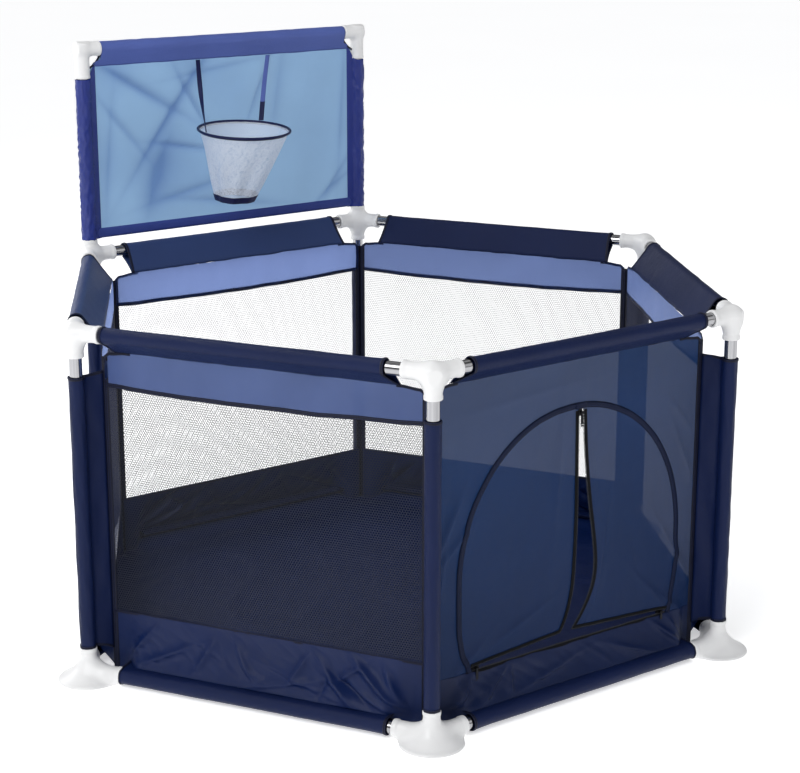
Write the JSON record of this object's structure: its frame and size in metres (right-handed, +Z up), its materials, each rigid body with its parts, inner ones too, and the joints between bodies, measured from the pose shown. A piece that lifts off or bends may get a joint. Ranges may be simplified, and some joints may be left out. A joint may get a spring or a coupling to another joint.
{
  "type": "playpen",
  "caption": "Hexagonal fabric playpen with steel tube frame, mesh windows, zipped crawl-through door and lift-off backboard with net hoop.",
  "frame": {"origin": "centre of the hexagon at floor level", "axes": "+Z up, -Y outward through the door, +Y outward through the backboard side, +X to the right seen from the door"},
  "size_m": [1.388, 1.2166, 1.029],
  "materials": {
    "steel_tube": "bright drawn steel with fine lengthwise streaks",
    "white_plastic": "satin moulded plastic",
    "black_rubber": "matte, finely grooved",
    "board_cloth": "thin translucent coated cloth, smooth with soft creases",
    "navy_cloth": "coated woven cloth with a slight sheen",
    "door_cloth": "thin coated woven cloth, slightly see-through",
    "dark_mesh": "open hexagonal knitted mesh",
    "white_net": "fine white knitted net",
    "zip_tape": "black woven tape with moulded teeth",
    "zip_metal": "black lacquered metal"
  },
  "bodies": {
    "playpen": {"post_front_right": "steel_tube", "post_right": "steel_tube", "post_back_right": "steel_tube", "post_back_left": "steel_tube", "post_left": "steel_tube", "post_front_left": "steel_tube", "top_rail_front": "steel_tube", "top_rail_front_right": "steel_tube", "top_rail_back_right": "steel_tube", "top_rail_back": "steel_tube", "top_rail_back_left": "steel_tube", "top_rail_front_left": "steel_tube", "bottom_rail_front": "steel_tube", "bottom_rail_front_right": "steel_tube", "bottom_rail_back_right": "steel_tube", "bottom_rail_back": "steel_tube", "bottom_rail_back_left": "steel_tube", "bottom_rail_front_left": "steel_tube", "top_fitting_front_right": "white_plastic", "top_fitting_right": "white_plastic", "top_fitting_back_right": "white_plastic", "top_fitting_back_left": "white_plastic", "top_fitting_left": "white_plastic", "top_fitting_front_left": "white_plastic", "foot_front_right": "white_plastic", "foot_right": "white_plastic", "foot_back_right": "white_plastic", "foot_back_left": "white_plastic", "foot_left": "white_plastic", "foot_front_left": "white_plastic", "foot_pads": "black_rubber", "door_panel": "door_cloth", "lower_zip_tape": "zip_tape", "mesh_window_front_right": "dark_mesh", "mesh_window_back_right": "dark_mesh", "mesh_window_back": "dark_mesh", "mesh_window_back_left": "dark_mesh", "mesh_window_front_left": "dark_mesh", "wall_cloth": "navy_cloth", "top_rail_tunnels": "navy_cloth", "bottom_rail_tunnels": "navy_cloth", "post_tunnels": "navy_cloth", "floor_cloth": "navy_cloth"},
    "backboard": {"board_post_left": "steel_tube", "board_post_right": "steel_tube", "board_top_tube": "steel_tube", "board_elbow_left": "white_plastic", "board_elbow_right": "white_plastic", "board_cover": "board_cloth"},
    "hoop": {"hoop_ring": "navy_cloth", "hoop_net": "white_net", "hoop_straps": "navy_cloth"},
    "left_flap": {"door_flap_left": "door_cloth"},
    "right_flap": {"door_flap_right": "door_cloth"},
    "upright_slider": {"zip_slider_upright": "zip_metal"},
    "left_slider": {"zip_slider_left": "zip_metal"},
    "right_slider": {"zip_slider_right": "zip_metal"},
    "upright_pull": {"zip_pull_upright": "zip_metal"},
    "left_pull": {"zip_pull_left": "zip_metal"},
    "right_pull": {"zip_pull_right": "zip_metal"}
  },
  "joints": [
    {"name": "backboard_lift", "type": "slide", "parent": "playpen", "child": "backboard", "axis": [0, 0, 1], "range_m": [0, 0.06]},
    {"name": "hoop_fold", "type": "hinge", "parent": "backboard", "child": "hoop", "pos_m": [-0.019, 0.55061, 0.853], "axis": [-1, 0, 0], "range_deg": [0, 80], "deforming": ["hoop_straps"]},
    {"name": "left_flap_swing", "type": "hinge", "parent": "playpen", "child": "left_flap", "pos_m": [-0.213, -0.51201, 0.092], "axis": [-0.4827, 0, -0.8758], "range_deg": [0, 140]},
    {"name": "right_flap_swing", "type": "hinge", "parent": "playpen", "child": "right_flap", "pos_m": [0.229, -0.51201, 0.092], "axis": [-0.4494, 0, 0.8933], "range_deg": [0, 140]},
    {"name": "upright_zip", "type": "slide", "parent": "playpen", "child": "upright_slider", "axis": [0, 0, -1], "range_m": [0, 0.355]},
    {"name": "left_zip", "type": "slide", "parent": "playpen", "child": "left_slider", "axis": [1, 0, 0], "range_m": [0, 0.19]},
    {"name": "right_zip", "type": "slide", "parent": "playpen", "child": "right_slider", "axis": [-1, 0, 0], "range_m": [0, 0.19]},
    {"name": "upright_pull_swing", "type": "hinge", "parent": "upright_slider", "child": "upright_pull", "pos_m": [0.017, -0.51761, 0.4865], "axis": [-1, 0, 0], "range_deg": [0, 120]},
    {"name": "left_pull_swing", "type": "hinge", "parent": "left_slider", "child": "left_pull", "pos_m": [-0.199, -0.51761, 0.0875], "axis": [-1, 0, 0], "range_deg": [0, 120]},
    {"name": "right_pull_swing", "type": "hinge", "parent": "right_slider", "child": "right_pull", "pos_m": [0.215, -0.51761, 0.0875], "axis": [-1, 0, 0], "range_deg": [0, 120]}
  ]
}
